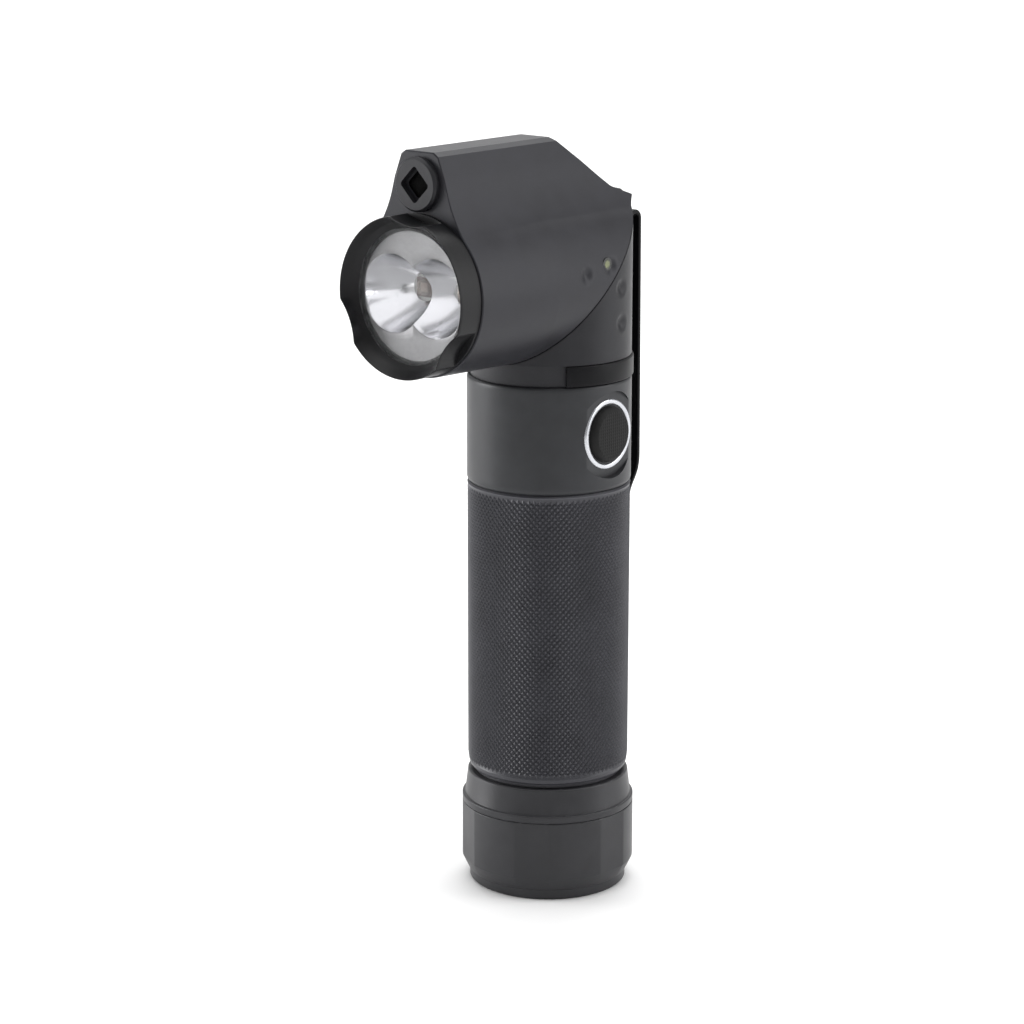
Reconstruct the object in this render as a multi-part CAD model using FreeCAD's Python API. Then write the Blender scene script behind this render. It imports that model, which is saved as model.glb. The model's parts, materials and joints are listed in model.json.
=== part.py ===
import FreeCAD, Part
import math
import os

# Right-angle flashlight with a swivelling head, in millimetres.
# +Z runs up the grip, the origin is the centre of the tail cap's flat end,
# the head points to -Y at rest, the switch faces +X and the pocket clip is on +Y.

# Tail cap
cap_base_r = 12.7
cap_r = 13.9
cap_lip_top = 1.7
cap_chamfer_top = 3.8
cap_flats_top = 13.1
cap_band_top = 14.4
cap_neck_low_r = 13.45
cap_neck_top_r = 12.95
cap_top = 18.6
cap_flat_count = 6
cap_flat_half_angle = 12.0
cap_floor = 1.8
cap_well_r = 9.9
cap_thread_low = 5.6
seal_low = 15.0

# Tail thread and battery tube
thread_r = 11.2
seal_land_r = 11.6
relief_r = 11.9
fit = 0.05
tube_low = 6.0
grip_low = 19.3
grip_r = 13.0
grip_high = 66.6
tube_bore_r = 9.5
tube_socket_r = 10.95
tube_socket_low = 58.5
spigot_groove_low = 63.2
spigot_groove_high = 64.3
spigot_groove_r = 10.1

# Battery, one 18650 cell
cell_r = 9.2
cell_low = 4.9
cell_high = 68.4
cell_button_r = 3.0
cell_button_high = 69.9

# Switch housing and side switch
housing_r = 13.05
housing_low = 67.4
housing_high = 83.75
housing_bore_r = 9.4
chamber_r = 9.75
chamber_low = 71.0
chamber_high = 81.0
switch_z = 75.5
switch_face_x = 12.0
switch_face_r = 6.9
switch_ring_r = 5.6
boot_r = 4.6
boot_flange_r = 5.3
boot_top_x = 13.35
board_x = 8.2
ring_seat_x = 11.2
flange_seat_x = 9.6
actuator_hole_r = 4.5

# Swivel neck and clip groove
groove_r = 12.45
groove_low = 83.75
groove_high = 87.15
neck_r = 13.0
neck_cavity_r = 10.2
neck_wall = 4.5

# Swivel: the pivot axis leans 45 degrees from +Z towards -Y through the elbow
elbow_z = 100.0
seam_gap = 0.12
pivot_r = 4.2
pivot_bore_r = 3.0
bush_r = 5.4
detent_radius = 9.8
head_wall = 3.5

# Head
head_r = 13.0
head_front_r = 12.6
head_front = 30.1
head_taper = 13.0
head_cavity_r = 10.2
optic_bore_r = 11.35
optic_bore_back = 19.5
screw_offset = 7.6

# Bezel, glass and reflector; the last four are distances forward of the elbow
bezel_r = 12.3
bezel_skirt_r = 11.3
bezel_seat_r = 10.7
bezel_opening_r = 10.3
funnel_r = 11.1
scallop_r = 10.6
scallop_depth = 1.1
glass_r = 10.6
gasket_opening_r = 9.8
cup_offset = 4.2
cup_rim_r = 6.0
cup_belly_r = 4.45
cup_floor_r = 2.2
bezel_front = 34.7
funnel_break = 33.1
glass_front = 32.5
glass_back = 31.85
reflector_face = 31.7
cup_belly = 27.9
cup_floor = 24.4
reflector_back = 23.9

# Crest on top of the head
crest_top = 121.5
crest_slope_start = 3.7
crest_slope = 0.77
rear_flat_start = 7.0
rear_flat_top = 113.2
rear_flat_slope = 0.37
neck_tip_z = 112.1
laser_z = 116.6
laser_bore_r = 3.3
laser_boss_r = 4.1
laser_boss_proud = 1.1

# Pocket clip
clip_thickness = 0.7
clip_half_width = 5.6
clip_inner_y = 13.05
clip_outer_y = 16.05
clip_outer_low_y = 16.35
clip_hinge_gap = 0.16
clip_top = 108.6
clip_bend_z = 66.7
clip_touch_z = 62.6
clip_tip_z = 54.6
clip_ring_in = 12.5
clip_ring_out = 13.3

X = FreeCAD.Vector(1, 0, 0)
Y = FreeCAD.Vector(0, 1, 0)
Z = FreeCAD.Vector(0, 0, 1)
ELBOW = FreeCAD.Vector(0, 0, elbow_z)
FORWARD = FreeCAD.Placement(ELBOW, FreeCAD.Rotation(X, 90))
PIVOT = FreeCAD.Placement(ELBOW, FreeCAD.Rotation(X, 45))
SIDEWAYS = FreeCAD.Placement(FreeCAD.Vector(0, 0, switch_z), FreeCAD.Rotation(Y, 90))


def moved(shape, placement):
    """A copy of the shape carried by a placement."""
    copy = shape.copy()
    copy.Placement = placement.multiply(copy.Placement)
    return copy


def forward(shape):
    """Stand a shape made along +Z on the elbow, pointing along the head (-Y)."""
    return moved(shape, FORWARD)


def pivoted(shape):
    """Stand a shape made along +Z on the elbow, along the swivel axis."""
    return moved(shape, PIVOT)


def sideways(shape):
    """Turn a shape made along +Z to point along +X at the switch's height."""
    return moved(shape, SIDEWAYS)


def shifted(shape, x=0.0, y=0.0, z=0.0):
    """A copy of the shape moved by x, y, z."""
    return moved(shape, FreeCAD.Placement(FreeCAD.Vector(x, y, z), FreeCAD.Rotation()))


def rod(radius, low, high):
    """A cylinder about Z between two heights."""
    return Part.makeCylinder(radius, high - low, FreeCAD.Vector(0, 0, low))


def ring(outer, inner, low, high):
    """A flat ring about Z between two heights."""
    return rod(outer, low, high).cut(rod(inner, low, high))


def turned(profile):
    """Revolve a closed outline of (radius, height) points about Z."""
    points = [FreeCAD.Vector(r, 0, z) for r, z in profile]
    face = Part.Face(Part.makePolygon(points + points[:1]))
    return face.revolve(FreeCAD.Vector(0, 0, 0), Z, 360)


def box(width, depth, low, high, x=0.0, y=0.0):
    """A box centred on x, y between two heights."""
    corner = FreeCAD.Vector(x - width / 2, y - depth / 2, low)
    return Part.makeBox(width, depth, high - low, corner)


def extruded(outline, direction):
    """Extrude a closed wire or point list into a solid."""
    if isinstance(outline, list):
        outline = Part.makePolygon(outline + outline[:1])
    return Part.Face(outline).extrude(direction)


def above_seam(offset):
    """Everything above the swivel's 45 degree plane, moved along its axis by offset."""
    return pivoted(box(120, 120, offset, offset + 90))


def below_seam(offset):
    """Everything below the swivel's 45 degree plane, moved along its axis by offset."""
    return pivoted(box(120, 120, offset - 90, offset))


def coil(wire_r, base_r, top_r, low, high, turns):
    """A round-wire spring about Z whose turns go from base_r to top_r."""
    height = high - low - 2 * wire_r
    spread = math.degrees(math.atan2(top_r - base_r, height))
    path = Part.makeHelix(height / turns, height, base_r, spread)
    start = FreeCAD.Vector(base_r, 0, 0)
    section = Part.Wire(Part.makeCircle(wire_r, start, Y))
    spring = Part.Wire(path.Edges).makePipeShell([section], True, True)
    return shifted(spring, z=low + wire_r)


def tail_cap_shell():
    """Screw-on cap: flat end, chamfer, six shallow flats, a band and a tapered neck."""
    outline = [
        (0, 0),
        (cap_base_r - 0.3, 0),
        (cap_base_r, 0.3),
        (cap_base_r, cap_lip_top),
        (cap_base_r + 0.2, cap_lip_top),
        (cap_r, cap_chamfer_top),
        (cap_r, cap_flats_top),
        (cap_r - 0.2, cap_flats_top + 0.1),
        (cap_r, cap_flats_top + 0.2),
        (cap_r, cap_band_top - 0.15),
        (cap_r - 0.15, cap_band_top),
        (cap_neck_low_r, cap_band_top),
        (cap_neck_top_r + 0.02, cap_top - 0.2),
        (cap_neck_top_r - 0.2, cap_top),
        (seal_land_r + fit, cap_top),
        (seal_land_r + fit, seal_low),
        (thread_r + fit, seal_low),
        (thread_r + fit, cap_thread_low),
        (cap_well_r, cap_thread_low),
        (cap_well_r, cap_floor),
        (0, cap_floor),
    ]
    cap = turned(outline)
    flat_distance = cap_r * math.cos(math.radians(cap_flat_half_angle))
    cutter = box(4, 20, cap_lip_top, cap_flats_top, x=flat_distance + 2)
    for index in range(cap_flat_count):
        angle = 360.0 * index / cap_flat_count
        cap = cap.cut(moved(cutter, FreeCAD.Placement(FreeCAD.Vector(), FreeCAD.Rotation(Z, angle))))
    return cap


def battery_tube():
    """Grip tube with the tail thread below and a socket for the switch housing above."""
    groove_floor = 10.4
    return turned([
        (tube_bore_r, tube_low),
        (thread_r - 0.4, tube_low),
        (thread_r, tube_low + 0.4),
        (thread_r, seal_low + 0.2),
        (groove_floor, seal_low + 0.2),
        (groove_floor, seal_low + 1.9),
        (seal_land_r, seal_low + 1.9),
        (seal_land_r, cap_top + fit),
        (relief_r, cap_top + fit),
        (relief_r, grip_low),
        (grip_r - 0.5, grip_low),
        (grip_r - 0.2, grip_low + 0.7),
        (grip_r, grip_low + 2.0),
        (grip_r, grip_high - 0.8),
        (grip_r - 0.4, grip_high),
        (tube_socket_r, grip_high),
        (tube_socket_r, tube_socket_low),
        (tube_bore_r, tube_socket_low),
    ])


def switch_housing():
    """Collar above the grip, with the flat spot-face and stepped hole of the switch."""
    spigot_r = tube_socket_r - fit
    collar = turned([
        (housing_bore_r, tube_socket_low + 0.1),
        (spigot_r, tube_socket_low + 0.1),
        (spigot_r, spigot_groove_low),
        (spigot_groove_r, spigot_groove_low),
        (spigot_groove_r, spigot_groove_high),
        (spigot_r, spigot_groove_high),
        (spigot_r, grip_high),
        (grip_r - 0.4, grip_high),
        (grip_r - 0.4, housing_low),
        (housing_r, housing_low + 0.7),
        (housing_r, housing_high - 0.45),
        (housing_r - 0.3, housing_high),
        (thread_r + fit, housing_high),
        (thread_r + fit, chamber_high),
        (chamber_r, chamber_high),
        (chamber_r, chamber_low),
        (housing_bore_r, chamber_low),
    ])
    steps = [
        (switch_face_r, switch_face_x),
        (switch_ring_r + fit, ring_seat_x),
        (boot_flange_r + 0.1, flange_seat_x),
        (actuator_hole_r, board_x - 0.7),
    ]
    for radius, depth in steps:
        collar = collar.cut(sideways(rod(radius, depth, 16)))
    return collar


def swivel_neck():
    """Upper body: clip groove, then a cylinder cut off by the 45 degree swivel seam."""
    outer = turned([
        (0, chamber_high),
        (thread_r, chamber_high),
        (thread_r, groove_low),
        (groove_r, groove_low),
        (groove_r, groove_high),
        (neck_r, groove_high),
        (neck_r, elbow_z + 20),
        (0, elbow_z + 20),
    ])
    cavity = rod(neck_cavity_r, chamber_high, elbow_z + 20).cut(above_seam(-neck_wall))
    neck = outer.cut(above_seam(-seam_gap / 2)).cut(cavity)
    neck = neck.cut(box(30, 30, neck_tip_z, neck_tip_z + 10))
    neck = neck.cut(pivoted(rod(bush_r, -neck_wall - 1, 1)))
    neck = neck.cut(pivoted(ring(7.9, 6.5, -1.3, 1)))
    neck = neck.cut(pivoted(shifted(rod(1.25, -4.0, 1), x=detent_radius)))
    for y, z in ((2.1, 98.4), (2.2, 92.9)):
        neck = neck.cut(dimple(neck_r, y, z))
    return neck


def dimple(surface_r, across, along):
    """Ball that leaves a shallow dimple on the +X side of a cylinder about Z."""
    ball_r = 4.2
    depth = 0.38
    reach = 1 + (ball_r - depth) / surface_r
    x = math.sqrt(surface_r ** 2 - across ** 2)
    return Part.makeSphere(ball_r, FreeCAD.Vector(x * reach, across * reach, along))


def o_ring(major, minor, z):
    """A round sealing ring about Z."""
    return Part.makeTorus(major, minor, FreeCAD.Vector(0, 0, z))


def switch_boot():
    """Rubber push button: clamped flange, sloped side and a slightly domed top."""
    dome = turned([
        (0, 12.2),
        (3.6, 12.2),
        (3.6, 10.45),
        (boot_flange_r, 10.45),
        (boot_flange_r, ring_seat_x),
        (boot_r, ring_seat_x),
        (boot_r, 12.1),
        (boot_r - 0.35, 12.75),
        (boot_r - 1.0, boot_top_x - 0.25),
        (boot_r - 2.4, boot_top_x - 0.06),
        (0, boot_top_x),
    ])
    return sideways(dome)


def tactile_switch():
    """Small square switch with a round plunger."""
    body = box(4.6, 4.6, board_x, 9.7)
    return sideways(body.fuse(rod(1.1, 9.7, 9.95)))


def switch_carrier():
    """D-shaped plastic block that holds the switch board against the wall."""
    block = ring(chamber_r - 0.1, 4.0, chamber_low + 1.05, 78.6)
    return block.cut(box(10, 30, chamber_low, 90, x=board_x - 0.85 + 5))


def above_slope(start, height, slope):
    """Everything behind start and above a plane that falls towards +Y from that height."""
    run = 30
    outline = [
        FreeCAD.Vector(-15, start, height),
        FreeCAD.Vector(-15, start + run, height - run * slope),
        FreeCAD.Vector(-15, start + run, height + 10),
        FreeCAD.Vector(-15, start, height + 10),
    ]
    return extruded(outline, X * 30)


def crest():
    """Ridge along the top of the head with concave flanks and a sloped rear end."""
    right = [(2.8, crest_top), (3.7, crest_top - 0.6), (5.0, 117.6), (5.7, 115.1)]
    root = (10.0, 108.1)
    belly = (7.25, 111.65)

    def at(point, side=1):
        return FreeCAD.Vector(side * point[0], 14, point[1])

    edges = []
    for side in (1, -1):
        for a, b in zip(right, right[1:]):
            edges.append(Part.makeLine(at(a, side), at(b, side)))
        edges.append(Part.Arc(at(right[-1], side), at(belly, side), at(root, side)).toShape())
        edges.append(Part.makeLine(at(root, side), at((root[0], elbow_z), side)))
    edges.append(Part.makeLine(at(right[0], 1), at(right[0], -1)))
    edges.append(Part.makeLine(at((root[0], elbow_z), 1), at((root[0], elbow_z), -1)))
    wire = Part.Wire(Part.__sortEdges__(edges))
    ridge = Part.Face(wire).extrude(Y * -(14 + head_front))
    return ridge.cut(above_slope(-crest_slope_start, crest_top, crest_slope))


def head_housing():
    """Barrel and crest, hollow, flattened at the rear and closed by the 45 degree swivel face."""
    barrel = forward(turned([
        (0, -20),
        (head_r, -20),
        (head_r, head_taper),
        (head_front_r, head_front),
        (0, head_front),
    ]))
    shell = barrel.fuse(crest())
    shell = shell.cut(above_slope(rear_flat_start, rear_flat_top, rear_flat_slope))
    cavity = forward(rod(head_cavity_r, -20, optic_bore_back + 1)).cut(below_seam(head_wall))
    shell = shell.cut(below_seam(seam_gap / 2)).cut(cavity)
    shell = shell.cut(forward(rod(optic_bore_r, optic_bore_back, head_front + 1)))
    laser_y = laser_z - elbow_z
    shell = shell.cut(forward(shifted(rod(laser_bore_r, 13, head_front + 1), y=laser_y)))
    shell = shell.cut(shifted(rod(1.2, laser_z - 8, laser_z), y=-15))
    shell = shell.cut(pivoted(rod(pivot_r + 0.02, -1, head_wall + 1)))
    race = ring(detent_radius + 1.0, detent_radius - 1.0, 0, seam_gap / 2 + 0.4)
    shell = shell.cut(pivoted(race))
    for angle in range(0, 360, 45):
        turn = FreeCAD.Placement(FreeCAD.Vector(), FreeCAD.Rotation(Z, angle))
        shell = shell.cut(pivoted(moved(shifted(rod(0.8, 0, 0.9), x=detent_radius), turn)))
    for height, distance in ((1.4, 6.5), (2.1, 0.55)):
        shell = shell.cut(forward(dimple(head_r, height, distance)))
    return shell.cut(indicator_bore(1.1, 9.0, 14))


def indicator_bore(radius, low, high):
    """A rod along +X at the place of the charge indicator."""
    rod_x = moved(rod(radius, low, high), FreeCAD.Placement(FreeCAD.Vector(), FreeCAD.Rotation(Y, 90)))
    return shifted(rod_x, y=-1.4, z=102.5)


def bezel_ring():
    """Screw-in front ring that holds the glass: a funnel with three scallops in its edge."""
    rim = turned([
        (bezel_seat_r, head_front - 2.2),
        (bezel_skirt_r, head_front - 2.2),
        (bezel_skirt_r, head_front),
        (bezel_r - 0.15, head_front),
        (bezel_r, head_front + 0.15),
        (bezel_r, bezel_front - 0.2),
        (bezel_r - 0.15, bezel_front),
        (funnel_r, funnel_break),
        (bezel_opening_r, glass_front),
        (bezel_seat_r, glass_front),
    ])
    for angle in (83, 203, 323):
        reach = bezel_r - scallop_depth + scallop_r
        x = reach * math.cos(math.radians(angle))
        y = reach * math.sin(math.radians(angle))
        rim = rim.cut(shifted(rod(scallop_r, head_front + 0.5, bezel_front + 1), x=x, y=y))
    return forward(rim)


def cup(x):
    """Curved conical cup of the reflector, about an axis at x."""
    floor = FreeCAD.Vector(cup_floor_r, 0, cup_floor)
    rim = FreeCAD.Vector(cup_rim_r, 0, reflector_face)
    belly = FreeCAD.Vector(cup_belly_r, 0, cup_belly)
    above = FreeCAD.Vector(cup_rim_r, 0, reflector_face + 1)
    top = FreeCAD.Vector(0, 0, reflector_face + 1)
    base = FreeCAD.Vector(0, 0, cup_floor)
    edges = [
        Part.Arc(floor, belly, rim).toShape(),
        Part.makeLine(rim, above),
        Part.makeLine(above, top),
        Part.makeLine(top, base),
        Part.makeLine(base, floor),
    ]
    bowl = Part.Face(Part.Wire(edges)).revolve(FreeCAD.Vector(0, 0, 0), Z, 360)
    return shifted(bowl.fuse(rod(cup_floor_r, reflector_back - 1, cup_floor + 0.1)), x=x)


def reflector():
    """One metallised block with two overlapping cups and pockets for the screw heads."""
    block = rod(bezel_seat_r - fit, reflector_back, reflector_face)
    for x in (-cup_offset, cup_offset):
        block = block.cut(cup(x))
    for y in (-screw_offset, screw_offset):
        block = block.cut(shifted(rod(1.9, reflector_back - 1, reflector_back + 1.5), y=y))
    return forward(block)


def led_board():
    """Round metal-core board with two screw holes."""
    board = rod(optic_bore_r - 0.15, reflector_back - 1.6, reflector_back)
    for y in (-screw_offset, screw_offset):
        board = board.cut(shifted(rod(1.05, 20, 30), y=y))
    return forward(board)


def heat_spreader():
    """Thick metal disc behind the board, with blind screw holes and a wire hole."""
    disc = rod(optic_bore_r - fit, optic_bore_back, reflector_back - 1.6)
    for y in (-screw_offset, screw_offset):
        disc = disc.cut(shifted(rod(1.05, reflector_back - 4.2, 30), y=y))
    return forward(disc.cut(rod(1.6, 10, 30)))


def board_screws():
    """Two small screws that clamp the board to the heat spreader."""
    screws = []
    for y in (-screw_offset, screw_offset):
        head = rod(1.7, reflector_back, reflector_back + 1.1)
        recess = box(0.5, 2.6, reflector_back + 0.6, reflector_back + 2)
        screw = head.cut(recess).fuse(rod(1.0, reflector_back - 4.1, reflector_back))
        screws.append(forward(shifted(screw, y=y)))
    return Part.makeCompound(screws)


def emitters():
    """Two square light-emitting packages on the board."""
    return Part.makeCompound([
        forward(box(2.9, 2.9, reflector_back, reflector_back + 0.7, x=x)) for x in (-cup_offset, cup_offset)
    ])


def emitter_domes():
    """The clear dome on each package."""
    domes = []
    for x in (-cup_offset, cup_offset):
        ball = Part.makeSphere(1.25, FreeCAD.Vector(x, 0, reflector_back + 0.7))
        domes.append(forward(ball.common(box(6, 6, reflector_back + 0.7, reflector_back + 4, x=x))))
    return Part.makeCompound(domes)


def diamond(half_diagonal, corner_r, low, high):
    """A square prism standing on a corner, with rounded corners."""
    side = half_diagonal * math.sqrt(2)
    prism = box(side, side, low, high)
    upright = [edge for edge in prism.Edges if abs(edge.tangentAt(edge.FirstParameter).z) > 0.9]
    prism = prism.makeFillet(corner_r, upright)
    return moved(prism, FreeCAD.Placement(FreeCAD.Vector(), FreeCAD.Rotation(Z, 45)))


def laser_bezel():
    """Round boss on the crest's front face with a stepped diamond opening."""
    boss = turned([
        (0, head_front - 4.1),
        (laser_bore_r - fit, head_front - 4.1),
        (laser_bore_r - fit, head_front),
        (laser_boss_r, head_front),
        (laser_boss_r, head_front + laser_boss_proud - 0.35),
        (laser_boss_r - 0.35, head_front + laser_boss_proud),
        (0, head_front + laser_boss_proud),
    ])
    boss = boss.cut(diamond(2.9, 0.5, head_front + laser_boss_proud - 1.0, head_front + 2))
    boss = boss.cut(diamond(2.3, 0.7, head_front - 5, head_front + laser_boss_proud))
    return forward(shifted(boss, y=laser_z - elbow_z))


def pivot_tube():
    """Hollow pivot pressed into the head's swivel face, with a flange inside."""
    tube = ring(pivot_r, pivot_bore_r, -8.0, head_wall + 1.0)
    return pivoted(tube.fuse(ring(bush_r, pivot_bore_r, head_wall, head_wall + 1.0)))


def pivot_nut():
    """Slotted ring nut that draws the head down on the neck."""
    nut = ring(6.2, pivot_r + 0.02, -7.25, -5.05)
    for depth in (14, -14):
        nut = nut.cut(box(1.4, 4.0, -8, -6.2, y=depth * 0.43))
    return pivoted(nut)


def swivel_wires():
    """Two insulated wires through the hollow pivot."""
    return Part.makeCompound([pivoted(shifted(rod(0.55, -9.0, 8.0), x=x)) for x in (-0.9, 0.9)])


def clip_band(points, half_width):
    """A strip of constant width from an outline of (y, z) points."""
    outline = [FreeCAD.Vector(-half_width, y, z) for y, z in points]
    return extruded(outline, X * 2 * half_width)


def clip_clasp():
    """Spring-steel clasp: C-ring in the groove, inner leaf and the bend at the top."""
    low = groove_low + 0.1
    high = groove_high - 0.1
    open_angle = 104.0
    c_ring = ring(clip_ring_out, clip_ring_in, low, high)
    far = 20.0
    half = math.radians(open_angle / 2)
    mouth = [
        FreeCAD.Vector(0, 0, low - 1),
        FreeCAD.Vector(far * math.sin(half), -far * math.cos(half), low - 1),
        FreeCAD.Vector(far * math.sin(half), -2 * far, low - 1),
        FreeCAD.Vector(-far * math.sin(half), -2 * far, low - 1),
        FreeCAD.Vector(-far * math.sin(half), -far * math.cos(half), low - 1),
    ]
    c_ring = c_ring.cut(extruded(mouth, Z * 6))
    bridge = box(8, 1.4, low, high, y=clip_inner_y).cut(rod(clip_ring_in, low - 1, high + 1))
    leaf_out = clip_inner_y + clip_thickness
    bend_r = (clip_outer_y - clip_inner_y) / 2
    bend_z = clip_top - bend_r
    leaf_outline = [(clip_inner_y, low), (leaf_out, low), (leaf_out, bend_z), (clip_inner_y, bend_z)]
    leaf = clip_band(leaf_outline, clip_half_width)
    bend = ring(bend_r, bend_r - clip_thickness, -clip_half_width, clip_half_width)
    bend = moved(bend, FreeCAD.Placement(FreeCAD.Vector(), FreeCAD.Rotation(Y, 90)))
    bend = shifted(bend, y=clip_inner_y + bend_r, z=bend_z)
    bend = bend.common(box(20, 20, bend_z, bend_z + 10, y=clip_inner_y))
    return c_ring.fuse([bridge, leaf, bend]).removeSplitter()


def clip_arm():
    """Outer leaf of the clip: straight, then bent in to the grip, with a flared tip."""
    top = clip_top - (clip_outer_y - clip_inner_y) / 2 - clip_hinge_gap
    touch = grip_r + 0.3
    flare = 1.25
    tip_half_width = 4.6
    outline = [
        (clip_outer_y, top),
        (clip_outer_low_y, clip_bend_z),
        (touch + clip_thickness, clip_touch_z),
        (touch + clip_thickness + flare, clip_tip_z),
        (touch + flare + 0.1, clip_tip_z - 0.25),
        (touch, clip_touch_z + 0.3),
        (clip_outer_low_y - clip_thickness, clip_bend_z + 0.3),
        (clip_outer_y - clip_thickness, top),
    ]
    leaf = clip_band(outline, clip_half_width)
    for side in (-1, 1):
        taper = [
            FreeCAD.Vector(side * clip_half_width, 0, clip_bend_z + 1),
            FreeCAD.Vector(side * tip_half_width, 0, clip_touch_z - 1),
            FreeCAD.Vector(side * tip_half_width, 0, clip_tip_z + 1.5),
            FreeCAD.Vector(side * (tip_half_width - 1.5), 0, clip_tip_z - 1),
            FreeCAD.Vector(side * 9, 0, clip_tip_z - 1),
            FreeCAD.Vector(side * 9, 0, clip_bend_z + 1),
        ]
        leaf = leaf.cut(extruded(taper, Y * 30))
    return leaf


laser_shift = laser_z - elbow_z
nodes = {
    "tail_cap_shell": tail_cap_shell(),
    "tail_spring_plate": rod(cap_well_r - fit, cap_floor, cap_floor + 0.5),
    "tail_retainer_ring": ring(cap_well_r - fit, 8.4, cap_floor + 0.5, cap_floor + 1.3),
    "tail_spring": coil(0.4, 7.4, 3.4, cap_floor + 0.5, cell_low - 0.02, 3),
    "battery_cell": rod(cell_r, cell_low, cell_high),
    "battery_positive_cap": rod(cell_button_r, cell_high, cell_button_high),
    "battery_tube": battery_tube(),
    "tail_oring": o_ring(11.02, 0.6, seal_low + 1.05),
    "switch_housing": switch_housing(),
    "neck_oring": o_ring(10.52, 0.4, 63.75),
    "front_contact_button": rod(2.4, cell_button_high + 0.05, chamber_low),
    "contact_board": rod(chamber_r - fit, chamber_low, chamber_low + 1.0),
    "switch_carrier": switch_carrier(),
    "switch_board": sideways(box(6.8, 8.4, board_x - 0.8, board_x)),
    "tactile_switch": tactile_switch(),
    "switch_ring": sideways(ring(switch_ring_r, boot_r + 0.08, 11.25, switch_face_x + 0.08)),
    "switch_boot": switch_boot(),
    "switch_actuator": sideways(rod(2.4, 10.75, 12.2)),
    "driver_retaining_ring": ring(neck_cavity_r - fit, 8.8, chamber_high, chamber_high + 0.8),
    "driver_board": rod(neck_cavity_r - fit, chamber_high + 0.8, chamber_high + 2.0),
    "inductor": box(5, 5, chamber_high - 2.0, chamber_high + 0.8, x=-3.0),
    "driver_chip": box(4, 4, chamber_high + 2.0, chamber_high + 3.0, y=4.5),
    "swivel_neck": swivel_neck(),
    "pivot_bush": pivoted(ring(bush_r - 0.02, pivot_r + fit, -neck_wall, -seam_gap / 2)),
    "swivel_seal": pivoted(o_ring(7.2, 0.6, -0.68)),
    "detent_ball": pivoted(Part.makeSphere(1.2, FreeCAD.Vector(detent_radius, 0, -1.0))),
    "detent_spring": pivoted(shifted(coil(0.2, 0.8, 0.8, -4.0, -2.2, 3), x=detent_radius)),
    "clip_clasp": clip_clasp(),
    "clip_arm": clip_arm(),
    "head_housing": head_housing(),
    "bezel_ring": bezel_ring(),
    "front_lens": forward(rod(glass_r, glass_back, glass_front)),
    "lens_gasket": forward(ring(glass_r, gasket_opening_r, reflector_face, glass_back)),
    "reflector": reflector(),
    "led_emitters": emitters(),
    "led_domes": emitter_domes(),
    "led_board": led_board(),
    "heat_spreader": heat_spreader(),
    "board_screws": board_screws(),
    "laser_bezel": laser_bezel(),
    "laser_window": forward(shifted(diamond(2.25, 0.7, head_front - 2.3, head_front - 1.7), y=laser_shift)),
    "laser_module": forward(shifted(rod(laser_bore_r - fit, 14, head_front - 4.2), y=laser_shift)),
    "indicator_lens": indicator_bore(1.05, 10.0, 12.75),
    "indicator_led": indicator_bore(0.9, 9.1, 9.9),
    "pivot_tube": pivot_tube(),
    "pivot_washer": pivoted(ring(6.3, pivot_r + 0.05, -5.05, -neck_wall - 0.05)),
    "pivot_nut": pivot_nut(),
    "swivel_wires": swivel_wires(),
}

os.makedirs("parts", exist_ok=True)
for name, shape in nodes.items():
    shape.exportStep("parts/" + name + ".step")
    print(name, len(shape.Solids), "valid" if shape.isValid() else "INVALID", round(shape.Volume, 2))
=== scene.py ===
import json
import math

import bmesh
import bpy
from mathutils import Matrix, Vector


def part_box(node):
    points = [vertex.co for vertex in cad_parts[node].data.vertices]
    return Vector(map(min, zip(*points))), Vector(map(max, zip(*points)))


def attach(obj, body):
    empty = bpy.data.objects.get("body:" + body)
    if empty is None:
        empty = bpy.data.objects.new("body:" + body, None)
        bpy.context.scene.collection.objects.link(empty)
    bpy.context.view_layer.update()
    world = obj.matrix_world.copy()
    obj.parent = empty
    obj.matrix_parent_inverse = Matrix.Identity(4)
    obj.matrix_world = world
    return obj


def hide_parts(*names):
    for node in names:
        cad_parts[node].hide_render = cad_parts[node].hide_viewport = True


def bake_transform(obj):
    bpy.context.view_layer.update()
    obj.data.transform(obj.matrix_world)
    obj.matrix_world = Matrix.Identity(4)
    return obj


# Looks of the right-angle flashlight. The shape code works in millimetres, and MM turns them into metres.
# +Z runs up the grip, the head points to -Y, the switch faces +X and the clip is on +Y.

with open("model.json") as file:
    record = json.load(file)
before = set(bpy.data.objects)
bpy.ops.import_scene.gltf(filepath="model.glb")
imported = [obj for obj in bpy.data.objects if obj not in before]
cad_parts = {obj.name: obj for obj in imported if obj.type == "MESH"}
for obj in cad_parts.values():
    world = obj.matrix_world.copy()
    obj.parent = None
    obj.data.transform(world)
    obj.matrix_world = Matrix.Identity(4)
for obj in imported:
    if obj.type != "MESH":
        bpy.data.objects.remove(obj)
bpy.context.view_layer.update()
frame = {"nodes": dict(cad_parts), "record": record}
MM = 0.001

# ---- sizes shared by the pieces, in millimetres, read from the frame where it holds them ----


def node_size(node):
    """Lowest and highest corner of a CAD node in millimetres."""
    low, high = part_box(node)
    return low / MM, high / MM


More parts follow.
